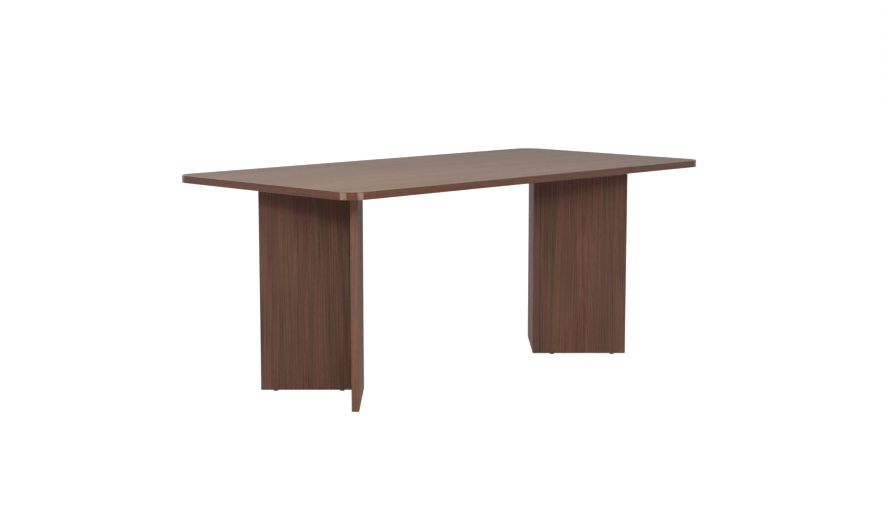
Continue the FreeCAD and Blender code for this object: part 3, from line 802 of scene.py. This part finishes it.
def strip_section(height):
    """
    The strip's section as (inward, up) pairs: a quarter circle over the lower outer arris,
    centre + STRIP_ARRIS * (-cos a, sin a), the same one mirrored over the upper arris, and the
    inner wall. Two points just inside the arrises keep the shading of the face between them flat.
    """
    angles = quarter_circle(-QUARTER_TURN, ARRIS_STEPS)
    arris = STRIP_ARRIS * np.stack([1 - np.cos(angles), np.sin(angles)], axis=-1)
    lower = arris + (0, STRIP_ARRIS)
    upper = arris[::-1] * (1, -1) + (0, height - STRIP_ARRIS)
    flat = [(0, STRIP_ARRIS + FLAT_MARGIN), (0, height - STRIP_ARRIS - FLAT_MARGIN)]
    inner = [(STRIP_THICKNESS, height), (STRIP_THICKNESS, 0)]
    return np.vstack([lower, flat, upper, inner])


strip_low, strip_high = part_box("top_edging")
centres, outwards = outline_of_top(strip_high.x, strip_high.y)
section = strip_section(strip_high.z - strip_low.z)
print(f"an outline of {len(centres)} points and a section of {len(section)}")

# %% [markdown]
# At each point of the outline stands a copy of the section, a ring. Faces between each ring
# and the next make the ribbon, and its two ends are filled, so that it is closed. Its UV map
# unrolls it: metres along the ribbon and round it, so the grain keeps its size and bends
# round the corners.

# %% The strip round the top
SMOOTH_ANGLE = math.radians(35)


def lengths_along(points):
    """How far along a line of points each one lies: the running sum of the steps' lengths."""
    steps = np.linalg.norm(np.diff(points, axis=0), axis=-1)
    return np.concatenate([[0], np.cumsum(steps)])


def ringed_mesh(name, rings, along, around):
    """
    A closed mesh through rings of points, an array of rings by points by XYZ. A quad joins each
    step of a ring to the next ring, and the two end rings are filled. The UV map holds the
    distances along the rings' path and around a ring, which has one more than its points.
    """
    ring_count, point_count = rings.shape[:2]
    corners = np.arange(ring_count * point_count).reshape(ring_count, point_count)
    following = np.roll(corners, -1, axis=1)
    quads = np.stack([corners[:-1], corners[1:], following[1:], following[:-1]], axis=-1)
    ends = [corners[0].tolist(), corners[-1][::-1].tolist()]
    mesh = bpy.data.meshes.new(name)
    mesh.from_pydata(rings.reshape(-1, 3).tolist(), [], quads.reshape(-1, 4).tolist() + ends)
    places = np.stack(np.meshgrid(along, around, indexing="ij"), axis=-1)
    quad_places = [places[:-1, :-1], places[1:, :-1], places[1:, 1:], places[:-1, 1:]]
    end_places = [places[0, :-1].ravel(), places[-1, :-1][::-1].ravel()]
    layer = mesh.uv_layers.new(name=STRIP_UV)
    uv = np.concatenate([np.stack(quad_places, axis=2).ravel(), *end_places])
    layer.data.foreach_set("uv", uv)
    mesh.shade_smooth()
    mesh.set_sharp_from_angle(angle=SMOOTH_ANGLE)
    piece = bpy.data.objects.new(name, mesh)
    bpy.context.scene.collection.objects.link(piece)
    return piece


reach = TOP_CORNER - section[:, 0]
plan = centres[:, None, :] + reach[None, :, None] * outwards[:, None, :]
levels = np.broadcast_to(strip_low.z + section[:, 1], plan.shape[:2])
rings = np.concatenate([plan, levels[..., None]], axis=-1)
along = lengths_along(centres + TOP_CORNER * outwards)
around = lengths_along(np.vstack([section, section[:1]]))
strip = ringed_mesh("top_edging_strip", rings, along, around)
strip.data.materials.append(top_edging_walnut)
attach(strip, "root")
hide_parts("top_edging")
print(f"a strip of {along[-1]:.3f} m round the top")

# %% [markdown]
# All the other pieces keep the frame's own shapes. A piece's name says what it is, so its
# finish is picked by how the name ends, and the wood by the board that it belongs to.

# %% Dress the frame's own pieces
FINISH_OF = {
    "bracket": powder_coat,
    "screws": plated_zinc,
    "bolts": plated_zinc,
    "washers": plated_zinc,
    "nails": plated_zinc,
    "inserts": cast_zinc,
    "dowels": beech,
    "glides": glide_plastic,
    "top_board": top_veneer,
    "top_edging": top_edging_walnut,
}
FINISH_OF.update({f"{panel}_panel": panel_veneers[panel] for panel in PANEL_RUNS})

for name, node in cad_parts.items():
    panel = next((panel for panel in PANEL_RUNS if name.startswith(panel)), None)
    if panel and name.endswith("edging"):
        finish = leg_edging_walnuts[panel, "apex_edging" if "apex" in name else "edging"]
    else:
        finish = next(FINISH_OF[ending] for ending in FINISH_OF if name.endswith(ending))
    for material_slot in node.material_slots:
        material_slot.material = finish
print(f"{len(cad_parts)} pieces dressed")
